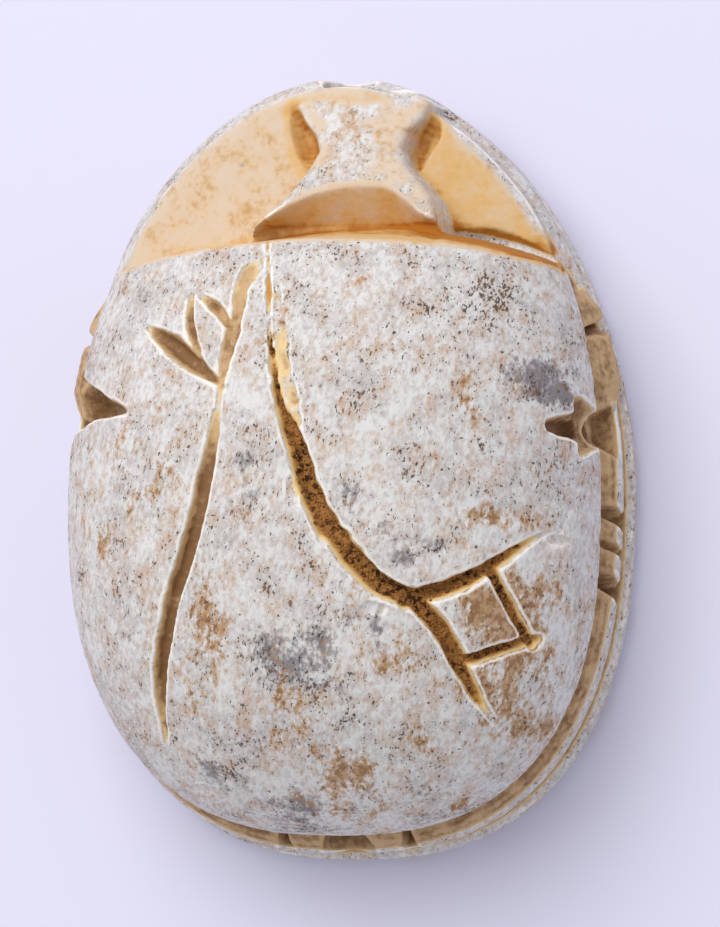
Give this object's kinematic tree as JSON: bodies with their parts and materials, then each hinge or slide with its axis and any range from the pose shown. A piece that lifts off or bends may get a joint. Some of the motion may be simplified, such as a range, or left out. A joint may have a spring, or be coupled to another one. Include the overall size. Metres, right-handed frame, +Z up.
{
  "type": "scarab amulet",
  "caption": "Carved stone scarab amulet: a beetle with a domed, incised back, notched shoulders, head and folded legs on an oval base, pierced lengthwise for a cord.",
  "frame": {"origin": "middle of the flat underside, on the plane it lies on", "axes": "+Z up through the back, +Y towards the beetle's head, +X to the right as seen from above with the head away from the viewer"},
  "size_m": [0.0178, 0.0244, 0.01],
  "materials": {
    "stone": "matte, weathered pale crust with amber recesses"
  },
  "bodies": {
    "root": {"scarab": "stone"}
  },
  "joints": []
}
